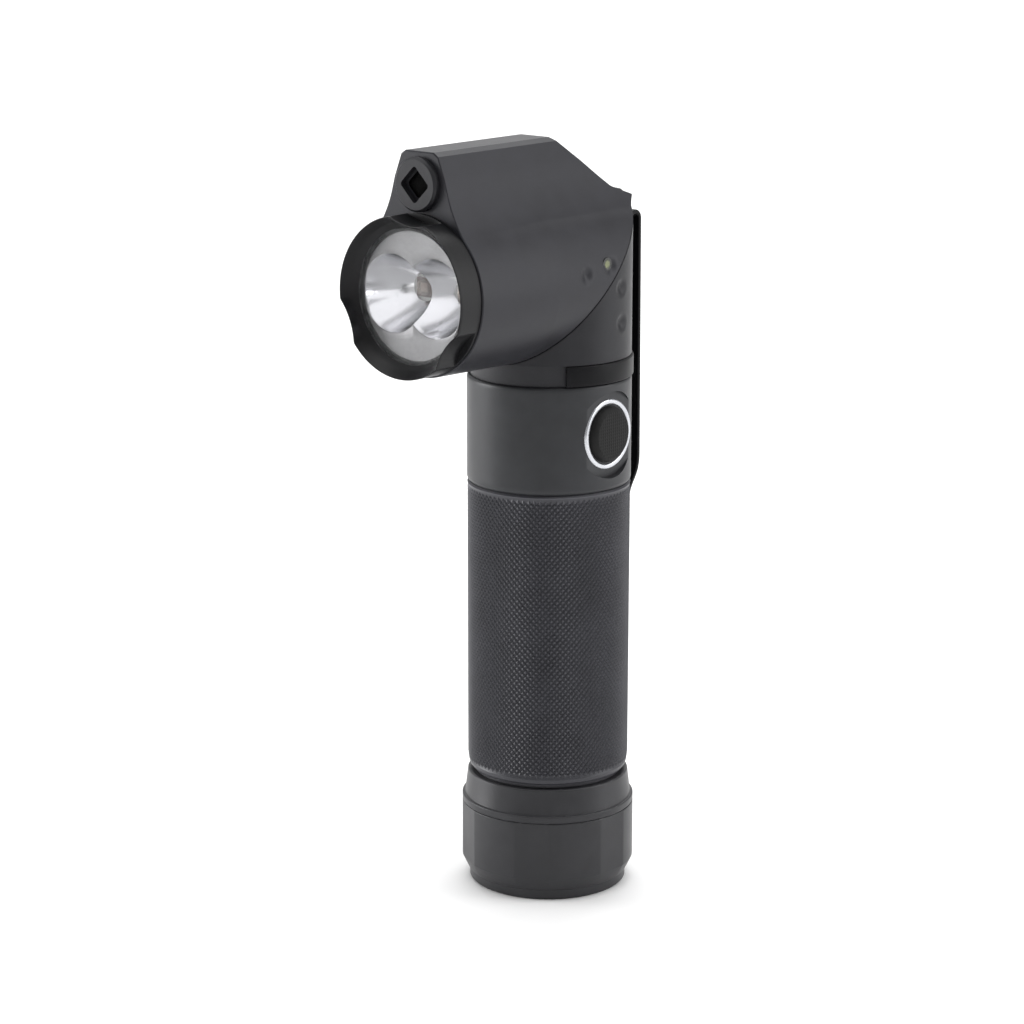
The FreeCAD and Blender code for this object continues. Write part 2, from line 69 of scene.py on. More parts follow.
ELBOW_Z = 100.0
SEAM_GAP = 0.06
TURN_STEPS = 240
TUBE_LOW, TUBE_HIGH = node_size("battery_tube")
GRIP_R = TUBE_HIGH.x
GRIP_TOP = TUBE_HIGH.z
CAP_HIGH = node_size("tail_cap_shell")[1]
CAP_R = CAP_HIGH.x
CAP_TOP = CAP_HIGH.z
NECK_R = node_size("swivel_neck")[1].x
BEZEL_FRONT = -node_size("bezel_ring")[0].y
HEAD_LOW, HEAD_HIGH = node_size("head_housing")
HEAD_FRONT = -HEAD_LOW.y
CREST_TOP = HEAD_HIGH.z
LASER_Z = sum(c.z for c in node_size("laser_bezel")) / 2
SWITCH_Z = sum(c.z for c in node_size("switch_boot")) / 2
BOOT_TOP_X = node_size("switch_boot")[1].x
CLIP_HALF_WIDTH = node_size("clip_arm")[1].x
CLASP_LOW_Z = node_size("clip_clasp")[0].z
COLLAR_TOP = node_size("switch_housing")[1].z
COLLAR_R = 13.05
SOCKET_R = 10.95
SOCKET_LOW = 58.5
THREAD_R = 11.2
THREAD_LEAD = 1.5
BORE_R = 9.5
GROOVE_R = 12.45
GROOVE_TOP = 87.15
NECK_LOW = 81.0
NECK_TIP_Z = node_size("swivel_neck")[1].z
DIMPLE_R = 1.75
DIMPLE_DEPTH = 0.5
BARREL_R = 13.0
BARREL_TAPER = 0.4
OPTIC_BORE_R = 11.35
OPTIC_BORE_BACK = 19.5
SKIRT_BACK = 27.9
DETENT_R = 9.8
# the crest's rear slope and the flatter slope behind it: where each starts, and how fast it falls
CREST_BREAK, CREST_SLOPE = 3.7, 0.77
REAR_FLAT, REAR_FLAT_Z, REAR_FLAT_SLOPE = 7.0, 113.2, 0.37
SCALLOPS = (83.0, 203.0, 323.0)
NECK_WALL = 4.0
CAVITY_R = 9.0

FORWARD = Matrix.Translation((0, 0, ELBOW_Z)) @ Matrix.Rotation(math.radians(90), 4, "X")
PIVOT = Matrix.Translation((0, 0, ELBOW_Z)) @ Matrix.Rotation(math.radians(45), 4, "X")
SIDEWAYS = Matrix.Translation((0, 0, SWITCH_Z)) @ Matrix.Rotation(math.radians(90), 4, "Y")


# ---- materials ----


def new_material(name, colour, roughness, metallic=0.0):
    """A Principled material; returns its node tree, shader and object coordinates in millimetres."""
    material = bpy.data.materials.new(name)
    material.use_nodes = True
    tree = material.node_tree
    shader = tree.nodes["Principled BSDF"]
    shader.inputs["Base Color"].default_value = (*colour, 1)
    shader.inputs["Roughness"].default_value = roughness
    shader.inputs["Metallic"].default_value = metallic
    place = tree.nodes.new("ShaderNodeTexCoord")
    scale = tree.nodes.new("ShaderNodeMapping")
    scale.inputs["Scale"].default_value = (1 / MM, 1 / MM, 1 / MM)
    tree.links.new(place.outputs["Object"], scale.inputs["Vector"])
    return material, tree, shader, scale.outputs["Vector"]


def noise(tree, vector, scale, detail=3.0, stretch=None):
    """Noise of a given frequency per millimetre, optionally stretched along the axes."""
    if stretch:
        mapping = tree.nodes.new("ShaderNodeMapping")
        mapping.inputs["Scale"].default_value = stretch
        tree.links.new(vector, mapping.inputs["Vector"])
        vector = mapping.outputs["Vector"]
    texture = tree.nodes.new("ShaderNodeTexNoise")
    texture.inputs["Scale"].default_value = scale
    texture.inputs["Detail"].default_value = detail
    tree.links.new(vector, texture.inputs["Vector"])
    return texture.outputs["Fac"]


def remap(tree, value, low, high, to_low, to_high):
    """Map a value from one range to another, clamped."""
    node = tree.nodes.new("ShaderNodeMapRange")
    for socket, number in zip(("From Min", "From Max", "To Min", "To Max"), (low, high, to_low, to_high)):
        node.inputs[socket].default_value = number
    tree.links.new(value, node.inputs["Value"])
    return node.outputs["Result"]


def blend_colours(tree, factor, first, second):
    """Mix two colours (tuples or sockets) by a factor socket."""
    node = tree.nodes.new("ShaderNodeMix")
    node.data_type = "RGBA"
    tree.links.new(factor, node.inputs["Factor"])
    for socket, colour in ((node.inputs["A"], first), (node.inputs["B"], second)):
        if isinstance(colour, tuple):
            socket.default_value = (*colour, 1)
        else:
            tree.links.new(colour, socket)
    return node.outputs["Result"]


def bump(tree, shader, height, distance, strength=1.0):
    """Bump the shader by a height socket, with the distance in millimetres."""
    node = tree.nodes.new("ShaderNodeBump")
    node.inputs["Strength"].default_value = strength
    node.inputs["Distance"].default_value = distance * MM
    tree.links.new(height, node.inputs["Height"])
    tree.links.new(node.outputs["Normal"], shader.inputs["Normal"])


def edge_highlight_mask(tree, low=0.56, high=0.66):
    """1 on convex edges, 0 elsewhere: the mask of the painted edge highlight."""
    geometry = tree.nodes.new("ShaderNodeNewGeometry")
    return remap(tree, geometry.outputs["Pointiness"], low, high, 0.0, 1.0)


def grained(name, colour, roughness, metallic=0.0, grain=9.0, depth=0.004, vary=0.12, edge_highlight=0.0, shine=0.5):
    """A surface with fine grain, patchy tone and roughness, and an optional painted highlight on convex edges."""
    material, tree, shader, vector = new_material(name, colour, roughness, metallic)
    shader.inputs["Specular IOR Level"].default_value = shine
    patches = noise(tree, vector, 0.22, 4.0)
    fine = noise(tree, vector, grain, 2.0)
    dark = tuple(c * (1 - vary) for c in colour)
    light = tuple(min(1.0, c * (1 + vary)) for c in colour)
    tone = blend_colours(tree, remap(tree, patches, 0.3, 0.7, 0, 1), dark, light)
    # painted highlight: convex edges are coloured lighter, standing in for the light lines along chamfers
    if edge_highlight:
        highlit_edge_tone = tuple(min(1.0, c + edge_highlight) for c in colour)
        tone = blend_colours(tree, edge_highlight_mask(tree), tone, highlit_edge_tone)
    tree.links.new(tone, shader.inputs["Base Color"])
    rough = remap(tree, patches, 0.25, 0.75, roughness - 0.04, roughness + 0.05)
    tree.links.new(rough, shader.inputs["Roughness"])
    bump(tree, shader, fine, depth)
    return material


def knurl_material():
    """Anodised knurl: patchy dark tone, with the tips coloured lighter as a painted highlight."""
    colour = (0.036, 0.036, 0.043)
    material, tree, shader, vector = new_material("knurled_anodised", colour, 0.45, 0.2)
    split = tree.nodes.new("ShaderNodeSeparateXYZ")
    tree.links.new(vector, split.inputs["Vector"])
    flat = tree.nodes.new("ShaderNodeCombineXYZ")
    tree.links.new(split.outputs["X"], flat.inputs["X"])
    tree.links.new(split.outputs["Y"], flat.inputs["Y"])
    length = tree.nodes.new("ShaderNodeVectorMath")
    length.operation = "LENGTH"
    tree.links.new(flat.outputs["Vector"], length.inputs[0])
    height = remap(tree, length.outputs["Value"], GRIP_R - 0.28, GRIP_R, 0, 1)
    patches = noise(tree, vector, 0.15, 4.0)
    tone = remap(tree, patches, 0.3, 0.7, 0, 1)
    base = blend_colours(tree, tone, (0.030, 0.030, 0.036), (0.042, 0.042, 0.050))
    # painted highlight: the tips of the diamonds are coloured lighter than the valleys
    painted_tip_highlight = blend_colours(tree, remap(tree, height, 0.75, 1.0, 0, 1), base, (0.066, 0.066, 0.078))
    tree.links.new(painted_tip_highlight, shader.inputs["Base Color"])
    bump(tree, shader, noise(tree, vector, 14.0, 2.0), 0.004)
    return material


def glass_material(name, tint, alpha, roughness, shine=0.6):
    """Thin coated glass: clear with faint smudges."""
    material, tree, shader, vector = new_material(name, tint, roughness)
    shader.inputs["Specular IOR Level"].default_value = shine
    smudge = noise(tree, vector, 0.35, 5.0)
    tree.links.new(remap(tree, smudge, 0.45, 0.8, alpha, alpha + 0.05), shader.inputs["Alpha"])
    tree.links.new(remap(tree, smudge, 0.4, 0.8, roughness, roughness + 0.1), shader.inputs["Roughness"])
    return material


def reflector_material():
    """Metallised reflector: a mottled satin plate darkened by painted shade, and smoother cups."""
    colour = (0.80, 0.80, 0.80)
    material, tree, shader, vector = new_material("metallised_silver", colour, 0.2, 1.0)
    split = tree.nodes.new("ShaderNodeSeparateXYZ")
    tree.links.new(vector, split.inputs["Vector"])
    on_plate = remap(tree, split.outputs["Y"], PLATE_Y + 0.15, PLATE_Y + 0.05, 0, 1)
    mottle = noise(tree, vector, 2.2, 4.0)
    rough = tree.nodes.new("ShaderNodeMix")
    tree.links.new(on_plate, rough.inputs["Factor"])
    tree.links.new(remap(tree, mottle, 0.3, 0.7, 0.13, 0.20), rough.inputs["A"])
    tree.links.new(remap(tree, mottle, 0.3, 0.7, 0.42, 0.62), rough.inputs["B"])
    tree.links.new(rough.outputs["Result"], shader.inputs["Roughness"])
    plate_tone = remap(tree, mottle, 0.3, 0.7, 0, 1)
    # painted shade: the plate's silver is coloured far darker than the cups'; the mottle between the two tones is
    # its orange-peel texture
    plate = blend_colours(tree, plate_tone, (0.165, 0.164, 0.168), (0.24, 0.238, 0.243))
    tone = blend_colours(tree, on_plate, (0.84, 0.84, 0.86), plate)
    tree.links.new(tone, shader.inputs["Base Color"])
    grain = noise(tree, vector, 6.0, 3.0)
    bump(tree, shader, grain, 0.006, 0.6)
    return material


PLATE_Y = node_size("reflector")[0].y
CUP_APART = 4.2
WINDOW_LOW, WINDOW_HIGH = node_size("indicator_lens")


def emitter_material():
    """Light package: a small pale phosphor square in a brownish surround, for both cups."""
    material, tree, shader, vector = new_material("emitter_phosphor", (0.2, 0.15, 0.14), 0.35)
    split = tree.nodes.new("ShaderNodeSeparateXYZ")
    tree.links.new(vector, split.inputs["Vector"])

    def math_node(operation, first, second=None):
        node = tree.nodes.new("ShaderNodeMath")
        node.operation = operation
        tree.links.new(first, node.inputs[0])
        if isinstance(second, float):
            node.inputs[1].default_value = second
        elif second is not None:
            tree.links.new(second, node.inputs[1])
        return node.outputs["Value"]

    from_cup = math_node("SUBTRACT", math_node("ABSOLUTE", split.outputs["X"]), CUP_APART)
    across = math_node("ABSOLUTE", from_cup)
    along = math_node("ABSOLUTE", math_node("SUBTRACT", split.outputs["Z"], ELBOW_Z))
    square = remap(tree, math_node("MAXIMUM", across, along), 0.62, 0.78, 0, 1)
    speckle = noise(tree, vector, 3.0, 3.0)
    die = blend_colours(tree, speckle, (0.62, 0.50, 0.48), (0.85, 0.76, 0.74))
    surround = blend_colours(tree, speckle, (0.13, 0.10, 0.10), (0.24, 0.19, 0.18))
    tree.links.new(blend_colours(tree, square, die, surround), shader.inputs["Base Color"])
    bump(tree, shader, speckle, 0.01)
    return material


def indicator_material():
    """Small tinted lens: a faintly lit olive middle inside a dark rim that is the painted shade of its recess."""
    material, tree, shader, vector = new_material("indicator_window", (0.12, 0.13, 0.05), 0.22)
    middle = (WINDOW_LOW + WINDOW_HIGH) / 2
    away = tree.nodes.new("ShaderNodeVectorMath")
    away.operation = "SUBTRACT"
    tree.links.new(vector, away.inputs[0])
    away.inputs[1].default_value = middle
    flat = tree.nodes.new("ShaderNodeVectorMath")
    flat.operation = "MULTIPLY"
    tree.links.new(away.outputs["Vector"], flat.inputs[0])
    flat.inputs[1].default_value = (0, 1, 1)
    length = tree.nodes.new("ShaderNodeVectorMath")
    length.operation = "LENGTH"
    tree.links.new(flat.outputs["Vector"], length.inputs[0])
    # painted shade: the dark rim stands in for the shadowed wall of the recess round the window
    rim = remap(tree, length.outputs["Value"], 0.35, 0.75, 0, 1)
    speckle = noise(tree, vector, 3.0, 3.0)
    middle_tone = blend_colours(tree, speckle, (0.10, 0.11, 0.05), (0.22, 0.24, 0.11))
    tree.links.new(blend_colours(tree, rim, middle_tone, (0.006, 0.007, 0.006)), shader.inputs["Base Color"])
    bump(tree, shader, speckle, 0.01)
    return material


ANODISED = grained("anodised_grey", (0.029, 0.030, 0.033), 0.42, 0.25, edge_highlight=0.03, shine=0.35)
ANODISED_CAP = grained("anodised_cap", (0.031, 0.031, 0.034), 0.40, 0.25, edge_highlight=0.03, shine=0.35)
# painted shade: a darker copy of the body's anodised grey for the neck and the laser bezel, standing in for the
# shade below the head
ANODISED_PAINTED_SHADE = grained("anodised_painted_shade", (0.0185, 0.0185, 0.0215), 0.44, 0.2, shine=0.3)
# painted shade: the head's copy of the anodised grey is coloured darker than the body's, to offset the light
# falling on it
ANODISED_HEAD_PAINTED_SHADE = grained("anodised_head", (0.0225, 0.0225, 0.027), 0.41, 0.25, shine=0.3)
ANODISED_DARK = grained("anodised_black", (0.006, 0.006, 0.007), 0.40, 0.1, edge_highlight=0.015, shine=0.25)
KNURLED = knurl_material()
BLACK = (0.004, 0.004, 0.005)
STEEL_BLACK = grained("black_spring_steel", BLACK, 0.42, 0.1, grain=5.0, edge_highlight=0.01, shine=0.15)
RUBBER = grained("boot_rubber", (0.005, 0.005, 0.005), 0.62, 0.0, grain=7.0, depth=0.01, shine=0.25)
SEAL = grained("seal_rubber", (0.010, 0.010, 0.010), 0.55, 0.0)
BRIGHT_RING = grained("bright_ring", (0.54, 0.55, 0.58), 0.22, 0.85, grain=6.0, depth=0.002, vary=0.05)
STEEL = grained("bright_steel", (0.60, 0.60, 0.62), 0.28, 1.0, grain=6.0, vary=0.08)
ALUMINIUM = grained("turned_aluminium", (0.74, 0.74, 0.75), 0.33, 1.0, grain=5.0, vary=0.06)
BRASS = grained("turned_brass", (0.68, 0.50, 0.24), 0.30, 1.0, vary=0.1)
GOLD = grained("gold_plate", (0.90, 0.66, 0.26), 0.24, 1.0, vary=0.06)
BRONZE = grained("bush_bronze", (0.45, 0.30, 0.17), 0.38, 1.0, vary=0.1)
PLASTIC = grained("moulded_plastic", (0.022, 0.022, 0.023), 0.48, 0.0, grain=12.0)
BOARD_GREEN = grained("solder_mask_green", (0.02, 0.14, 0.05), 0.35, 0.0, grain=3.0, vary=0.2)
BOARD_WHITE = grained("solder_mask_white", (0.80, 0.80, 0.78), 0.40, 0.0, vary=0.04)
FERRITE = grained("ferrite", (0.06, 0.06, 0.065), 0.6, 0.0, vary=0.2)
CELL_WRAP = grained("cell_wrap", (0.04, 0.16, 0.36), 0.32, 0.0, grain=2.0, vary=0.1)
WIRE_RED = grained("wire_insulation", (0.45, 0.03, 0.02), 0.45, 0.0, vary=0.1)
EMITTER = emitter_material()
INDICATOR = indicator_material()
GLASS = glass_material("front_glass", (0.9, 0.93, 0.95), 0.03, 0.03)
DARK_GLASS = glass_material("dark_window", (0.001, 0.001, 0.001), 0.95, 0.5, shine=0.02)
DOME = glass_material("emitter_dome", (0.95, 0.85, 0.75), 0.22, 0.05)
SILVER = reflector_material()

SLOT_MATERIALS = {
    "anodised_body": ANODISED,
    "anodised_head": ANODISED_HEAD_PAINTED_SHADE,
    "anodised_knurl": KNURLED,
    "anodised_black": ANODISED_DARK,
    "bare_aluminium": ALUMINIUM,
    "reflector_silver": SILVER,
    "steel_black": STEEL_BLACK,
    "steel_bright": STEEL,
    "ring_bright": BRIGHT_RING,
    "brass": BRASS,
    "gold_contact": GOLD,
    "rubber_black": RUBBER,
    "seal_rubber": SEAL,
    "clear_glass": GLASS,
    "dark_glass": DARK_GLASS,
    "clear_silicone": DOME,
    "indicator_green": INDICATOR,
    "board_green": BOARD_GREEN,
    "board_white": BOARD_WHITE,
    "plastic_black": PLASTIC,
    "ferrite": FERRITE,
    "emitter": EMITTER,
    "cell_wrap": CELL_WRAP,
    "bronze": BRONZE,
    "wire_red": WIRE_RED,
}

for subpart in frame["record"]["subparts"]:
    cad_node = frame["nodes"][subpart["node"]]
    cad_node.data.materials.clear()
    cad_node.data.materials.append(SLOT_MATERIALS[subpart["material_slot"]])
# painted shade: the laser bezel takes the darker copy of the anodised grey
frame["nodes"]["laser_bezel"].data.materials[0] = ANODISED_PAINTED_SHADE


# ---- mesh helpers ----


class Skin:
    """Points and faces gathered row by row, in millimetres."""

    def __init__(self):
        self.points = []
        self.faces = []

    def rows(self, rows, closed=False):
        """Join rows of equal length in order, and the last to the first if closed."""
        count = len(rows[0])
        starts = []
        for points in rows:
            starts.append(len(self.points))
            self.points += points
        pairs = list(zip(starts, starts[1:]))
        if closed:
            pairs.append((starts[-1], starts[0]))
        for first, second in pairs:
            for i in range(count):
                j = (i + 1) % count
                self.faces.append((first + i, first + j, second + j, second + i))
        return starts

    def lid(self, start, count):
        """One face over a row of points."""
        self.faces.append(tuple(range(start, start + count)))

    def piece(self, name, material, body, slot, replaced=(), placement=None, smooth_angle=32.0):
        """The skin as an object, placed in the row frame, riding on a body unless that is None."""
        matrix = placement or Matrix()
        mesh = bpy.data.meshes.new(name)
        mesh.from_pydata([(matrix @ Vector(p)) * MM for p in self.points], [], self.faces)
        mesh.validate()
        work = bmesh.new()
        work.from_mesh(mesh)
        bmesh.ops.remove_doubles(work, verts=work.verts, dist=1e-6)
        bmesh.ops.dissolve_degenerate(work, edges=work.edges, dist=1e-7)
        bmesh.ops.recalc_face_normals(work, faces=work.faces)
        work.to_mesh(mesh)
        work.free()
        mesh.polygons.foreach_set("use_smooth", [True] * len(mesh.polygons))
        mesh.set_sharp_from_angle(angle=math.radians(smooth_angle))
        mesh.materials.append(material)
        piece = bpy.data.objects.new(name, mesh)
        bpy.context.scene.collection.objects.link(piece)
        if body:
            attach(piece, body)
        if replaced:
            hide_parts(*replaced)
        return piece


def circle(radius, z, steps=TURN_STEPS):
    """A ring of points about Z; radius is a number or a function of the angle."""
    points = []
    for i in range(steps):
        angle = 2 * math.pi * i / steps
        r = radius(angle) if callable(radius) else radius
        points.append((r * math.cos(angle), r * math.sin(angle), z))
    return points


def rounded(outline, radius=0.12, steps=3):
    """An outline of flat points with each corner turned into a small curve."""
    result = [tuple(outline[0])]
    for before, corner, after in zip(outline, outline[1:], outline[2:]):
        a, b, c = Vector(before), Vector(corner), Vector(after)
        reach = min(radius, (b - a).length * 0.45, (c - b).length * 0.45)
        start = b + (a - b).normalized() * reach
        end = b + (c - b).normalized() * reach
        for k in range(steps + 1):
            t = k / steps
            result.append(tuple(start * (1 - t) ** 2 + b * (2 * t * (1 - t)) + end * t ** 2))
    result.append(tuple(outline[-1]))
    return result


def dimple_depth(distance):
    """Depth of a round dimple at a distance from its middle."""
    if distance >= DIMPLE_R:
        return 0.0
    return DIMPLE_DEPTH * (0.5 + 0.5 * math.cos(math.pi * distance / DIMPLE_R))


# ---- grip and tail ----


def tube_radius(z):
    """Radius over the knurl's tips, drawn in a little towards the tail."""
    taper_top, taper = 21.3, 0.2 / 1.3
    return GRIP_R - taper * max(0.0, taper_top - z)


def knurled_grip():
    """Grip tube with a true diamond knurl: each diamond is a small pyramid."""
    around = 180
    low, high = 20.4, GRIP_TOP - 0.5
    half_pitch = 0.5
    depth = 0.28
    rows = int((high - low) / half_pitch)
    thread_low, thread_high = 7.2, 14.6
    profile = [(BORE_R, TUBE_LOW.z), (10.8, TUBE_LOW.z), (THREAD_R, TUBE_LOW.z + 0.4)]
    for k in range(int((thread_high - thread_low) / THREAD_LEAD * 2)):
        profile.append((THREAD_R if k % 2 else THREAD_R - 0.5, thread_low + k * THREAD_LEAD / 2))
    profile += [(THREAD_R, thread_high), (THREAD_R, 15.2), (10.4, 15.2), (10.4, 16.9), (11.6, 16.9)]
    profile += [(11.6, CAP_TOP + 0.05), (11.9, CAP_TOP + 0.05), (11.9, 19.3), (12.4, 19.3), (12.65, 19.6)]
    profile.append((tube_radius(20.2) - 0.02, 20.2))
    skin = Skin()
    bands = skin.rows([circle(r, z, around) for r, z in profile])
    knurl = []
    for r in range(rows + 1):
        z = low + half_pitch * r
        edge = r in (0, rows)
        points = []
        for i in range(around):
            angle = 2 * math.pi * i / around
            sunk = 0.14 if edge else (0.0 if (r + i) % 2 == 0 else depth)
            radius = tube_radius(z) - sunk
            points.append((radius * math.cos(angle), radius * math.sin(angle), z))
        knurl.append(points)
    first = len(skin.points)
    for points in knurl:
        skin.points += points
    last = first + rows * around
    for i in range(around):
        j = (i + 1) % around
        skin.faces.append((bands[-1] + i, bands[-1] + j, first + j, first + i))
    for r in range(rows):
        for i in range(around):
            j = (i + 1) % around
            a, b = first + r * around + i, first + r * around + j
            c, d = first + (r + 1) * around + j, first + (r + 1) * around + i
            if (r + i) % 2 == 0:
                skin.faces += [(a, b, d), (b, c, d)]
            else:
                skin.faces += [(a, b, c), (a, c, d)]
    closing = [(GRIP_R, GRIP_TOP - 0.3), (GRIP_R - 0.3, GRIP_TOP), (SOCKET_R, GRIP_TOP)]
    closing += [(SOCKET_R, SOCKET_LOW), (BORE_R, SOCKET_LOW)]
    ends = skin.rows([circle(r, z, around) for r, z in closing])
    for start, end in ((last, ends[0]), (ends[-1], bands[0])):
        for i in range(around):
            j = (i + 1) % around
            skin.faces.append((start + i, start + j, end + j, end + i))
    skin.piece("grip_tube", KNURLED, "handle", "anodised_knurl", ("battery_tube",), smooth_angle=24.0)


def tail_cap():
    """Tail cap: chamfered foot, six flats, a grooved band, a tapered neck and the thread inside."""
    flat_half = math.radians(12.0)
    flat_distance = CAP_R * math.cos(flat_half)
    sector = math.pi / 3
    flats_low, flats_top = 1.75, 13.12
    outline = [(0.01, 0.0), (12.4, 0.0), (12.7, 0.3), (12.7, 1.7), (12.92, 1.78), (CAP_R, 3.8), (CAP_R, 13.1)]
    outline += [(CAP_R - 0.22, 13.22), (CAP_R, 13.34), (CAP_R, 14.3), (CAP_R - 0.15, 14.42), (13.45, 14.42)]
    outline += [(12.97, 18.4), (12.78, CAP_TOP), (11.65, CAP_TOP), (11.65, 15.0), (THREAD_R + 0.05, 15.0)]
    thread_low = 6.4
    for k in range(10, -1, -1):
        outline.append((THREAD_R + (0.45 if k % 2 else 0.05), thread_low + k * THREAD_LEAD / 2))
    outline += [(THREAD_R + 0.05, 5.6), (9.9, 5.6), (9.9, 1.8), (0.01, 1.8)]

    def reach(radius, z):
        """Radius over the angle, cut back to the six flats in their band."""
        def at(angle):
            away = (angle + sector / 2) % sector - sector / 2
            return min(radius, flat_distance / math.cos(away)) if flats_low < z < flats_top else radius
        return at

    skin = Skin()
    skin.rows([circle(reach(r, z), z, 360) for r, z in rounded(outline, 0.1)])
    skin.piece("tail_cap", ANODISED_CAP, "tail_cap", "anodised_body", ("tail_cap_shell",), smooth_angle=35.0)


# ---- switch collar ----


def switch_collar():
    """Collar with a flat spot-face sunk into its +X side for the switch."""
    face_x, face_r = 12.0, 6.9
    side_y = math.sqrt(COLLAR_R ** 2 - face_x ** 2)
    side_angle = math.degrees(math.asin(side_y / COLLAR_R))
    angles = [float(a) for a in range(-180, 180) if abs(abs(a) - side_angle) > 0.5]
    angles = sorted(angles + [-side_angle, side_angle])
    low, high = GRIP_TOP + 0.7, COLLAR_TOP - 0.45
    steps = 12
    columns = []
    for degrees in angles:
        angle = math.radians(degrees)
        x, y = COLLAR_R * math.cos(angle), COLLAR_R * math.sin(angle)
        near = degrees > -90 and degrees < 90
        half = math.sqrt(max(face_r ** 2 - y * y, 1.5 ** 2)) if near else 1.5
        sunk_x = min(x, face_x) if near and abs(degrees) < side_angle + 0.01 else x
        column = [(x, y, low + (SWITCH_Z - half - low) * k / steps) for k in range(steps + 1)]
        column += [(sunk_x, y, SWITCH_Z + half * (2 * k / steps - 1)) for k in range(steps + 1)]
        column += [(x, y, SWITCH_Z + half + (high - SWITCH_Z - half) * k / steps) for k in range(steps + 1)]
        columns.append(column)
    skin = Skin()
    count = len(columns)

    def ring_at(radius, z):
        return [(radius * math.cos(math.radians(a)), radius * math.sin(math.radians(a)), z) for a in angles]

    spigot_r, spigot_low, neck_in_r = SOCKET_R - 0.05, SOCKET_LOW + 0.1, 12.6
    below = rounded([(9.4, spigot_low), (spigot_r, spigot_low), (spigot_r, GRIP_TOP), (neck_in_r, GRIP_TOP)])
    below += [(neck_in_r, GRIP_TOP), (COLLAR_R - 0.08, GRIP_TOP + 0.45)]
    above = [(COLLAR_R - 0.06, COLLAR_TOP - 0.2), (COLLAR_R - 0.2, COLLAR_TOP - 0.05)]
    above += [(COLLAR_R - 0.35, COLLAR_TOP), (11.25, COLLAR_TOP), (11.25, NECK_LOW)]
    above += [(9.75, NECK_LOW), (9.75, 71.0), (9.4, 71.0)]
    rows = [ring_at(r, z) for r, z in below]
    rows += [[columns[c][r] for c in range(count)] for r in range(len(columns[0]))]
    rows += [ring_at(r, z) for r, z in above]
    skin.rows(rows, closed=True)
    skin.piece("switch_collar", ANODISED, "handle", "anodised_body", ("switch_housing",), smooth_angle=30.0)


def switch_trim():
    """Bright ring round the boot."""
    inner_r, outer_r, low, top = 4.68, 5.6, 11.3, 12.22
    outline = [(inner_r, low), (outer_r, low), (outer_r, top - 0.17), (outer_r - 0.18, top)]
    outline += [(inner_r + 0.18, top), (inner_r, top - 0.22), (inner_r, low)]
    skin = Skin()
    skin.rows([circle(r, z, 160) for r, z in rounded(outline)], closed=True)
    skin.piece("switch_bright_ring", BRIGHT_RING, "handle", "ring_bright", ("switch_ring",), SIDEWAYS, 40.0)


def rubber_boot():
    """Rubber button: sloped side, soft shoulder and a crown covered in fine raised dots."""
    steps = 200
    crown_r = 3.75
    pitch = 0.5
    dot = 0.075
    side = rounded([(4.5, 11.2), (4.58, 11.9), (4.3, 12.75), (crown_r, BOOT_TOP_X - 0.2)], 0.25)
    skin_rows = [circle(r, z, steps) for r, z in side]
    rings = 40
    for k in range(1, rings):
        r = crown_r * (1 - k / rings)
        base = BOOT_TOP_X - 0.09 - 0.11 * (r / crown_r) ** 2
        points = []
        for i in range(steps):
            angle = 2 * math.pi * i / steps
            x, y = r * math.cos(angle), r * math.sin(angle)
            wave = math.cos(math.pi * (x + y) / pitch) * math.cos(math.pi * (x - y) / pitch)
            points.append((x, y, base + dot * max(0.0, wave)))
        skin_rows.append(points)
    skin = Skin()
    starts = skin.rows(skin_rows)
    skin.lid(starts[-1], steps)
    skin.piece("rubber_boot", RUBBER, "switch_button", "rubber_black", ("switch_boot",), SIDEWAYS, 50.0)


# ---- neck and head, cut by the 45 degree swivel plane ----


def face_rings(inner, profile, lift, pockets=False):
    """Rings about the pivot axis, each point at the angle of its partner in the inner row."""
    rows = []
    back = PIVOT.inverted()
    for radius, height in profile:
        points = []
        for point in inner:
            local = back @ Vector(point)
            angle = math.atan2(local.y, local.x)
            depth = height
            if pockets and abs(radius - DETENT_R) < 0.9:
                eighth = math.pi / 4
                away = (angle + eighth / 2) % eighth - eighth / 2
                gap = math.hypot(radius - DETENT_R, radius * away)
                depth += 0.4 * max(0.0, 1 - (gap / 0.8) ** 2)
            spot = PIVOT @ Vector((radius * math.cos(angle), radius * math.sin(angle), lift + depth))
            points.append(tuple(spot))
        rows.append(points)
    return rows


